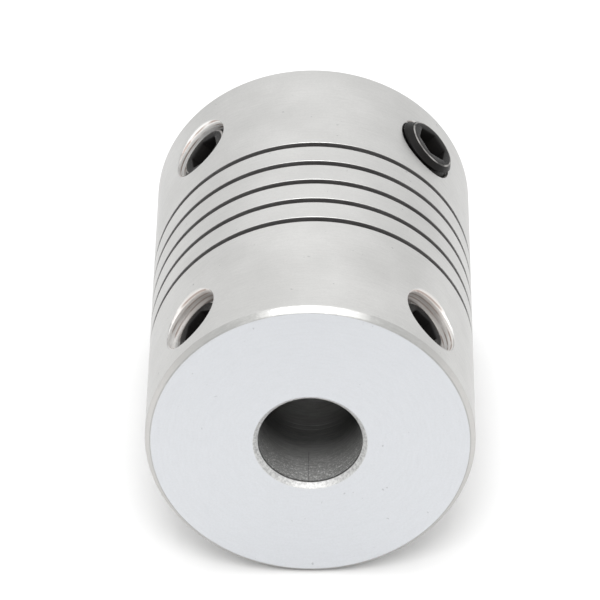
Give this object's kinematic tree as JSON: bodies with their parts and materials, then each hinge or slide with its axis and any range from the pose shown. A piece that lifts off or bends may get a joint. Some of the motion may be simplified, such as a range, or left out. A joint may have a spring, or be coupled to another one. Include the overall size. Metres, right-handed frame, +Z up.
{
  "type": "helical beam coupling",
  "caption": "Round aluminium shaft coupling with a helical slot that makes its middle a flexible beam, and hexagon socket set screws at both ends.",
  "frame": {"origin": "on the shaft axis, halfway along the coupling", "axes": "+Y along the shaft axis from the near (6 mm) end to the far (8 mm) end, +Z up between the two screws of each pair, +X to the right seen from the near end"},
  "size_m": [0.019, 0.025, 0.019],
  "materials": {
    "aluminium_body": "satin turned",
    "black_steel": "black oxide"
  },
  "bodies": {
    "near_hub": {"near_hub": "aluminium_body"},
    "coil_1": {"flexure_coil_1": "aluminium_body"},
    "coil_2": {"flexure_coil_2": "aluminium_body"},
    "coil_3": {"flexure_coil_3": "aluminium_body"},
    "coil_4": {"flexure_coil_4": "aluminium_body"},
    "coil_5": {"flexure_coil_5": "aluminium_body"},
    "far_hub": {"far_hub": "aluminium_body", "flexure_coil_6": "aluminium_body"},
    "near_left_screw": {"near_left_screw": "black_steel"},
    "near_right_screw": {"near_right_screw": "black_steel"},
    "far_left_screw": {"far_left_screw": "black_steel"},
    "far_right_screw": {"far_right_screw": "black_steel"}
  },
  "joints": [
    {"name": "near_bend_x", "type": "hinge", "parent": "near_hub", "child": "coil_1", "pos_m": [0, -0.00405, 0], "axis": [1, 0, 0], "range_deg": [-1, 1], "stiffness_Nm_per_rad": 1.11, "deforming": ["flexure_coil_1"]},
    {"name": "near_bend_z", "type": "hinge", "parent": "coil_1", "child": "coil_2", "pos_m": [0, -0.00234, 0], "axis": [0, 0, 1], "range_deg": [-1, 1], "stiffness_Nm_per_rad": 1.11, "deforming": ["flexure_coil_2"]},
    {"name": "stretch", "type": "slide", "parent": "coil_2", "child": "coil_3", "axis": [0, 1, 0], "range_m": [-0.0003, 0.0003], "stiffness_N_per_m": 13000, "deforming": ["flexure_coil_3"]},
    {"name": "wind_up", "type": "hinge", "parent": "coil_3", "child": "coil_4", "pos_m": [0, 0.00107, 0], "axis": [0, 1, 0], "range_deg": [-3, 3], "stiffness_Nm_per_rad": 6.3, "deforming": ["flexure_coil_4"]},
    {"name": "far_bend_z", "type": "hinge", "parent": "coil_4", "child": "coil_5", "pos_m": [0, 0.00278, 0], "axis": [0, 0, 1], "range_deg": [-1, 1], "stiffness_Nm_per_rad": 1.11, "deforming": ["flexure_coil_5"]},
    {"name": "far_bend_x", "type": "hinge", "parent": "coil_5", "child": "far_hub", "pos_m": [0, 0.00449, 0], "axis": [1, 0, 0], "range_deg": [-1, 1], "stiffness_Nm_per_rad": 1.11, "deforming": ["flexure_coil_6"]},
    {"name": "near_left_screw_drive", "type": "slide", "parent": "near_hub", "child": "near_left_screw", "axis": [-0.7431, 0, 0.6691], "range_m": [-0.0018, 0.003]},
    {"name": "near_right_screw_drive", "type": "slide", "parent": "near_hub", "child": "near_right_screw", "axis": [0.7431, 0, 0.6691], "range_m": [-0.0018, 0.003]},
    {"name": "far_left_screw_drive", "type": "slide", "parent": "far_hub", "child": "far_left_screw", "axis": [-0.7254, 0, 0.6884], "range_m": [-0.0011, 0.003]},
    {"name": "far_right_screw_drive", "type": "slide", "parent": "far_hub", "child": "far_right_screw", "axis": [0.7254, 0, 0.6884], "range_m": [-0.002, 0.0025]}
  ]
}
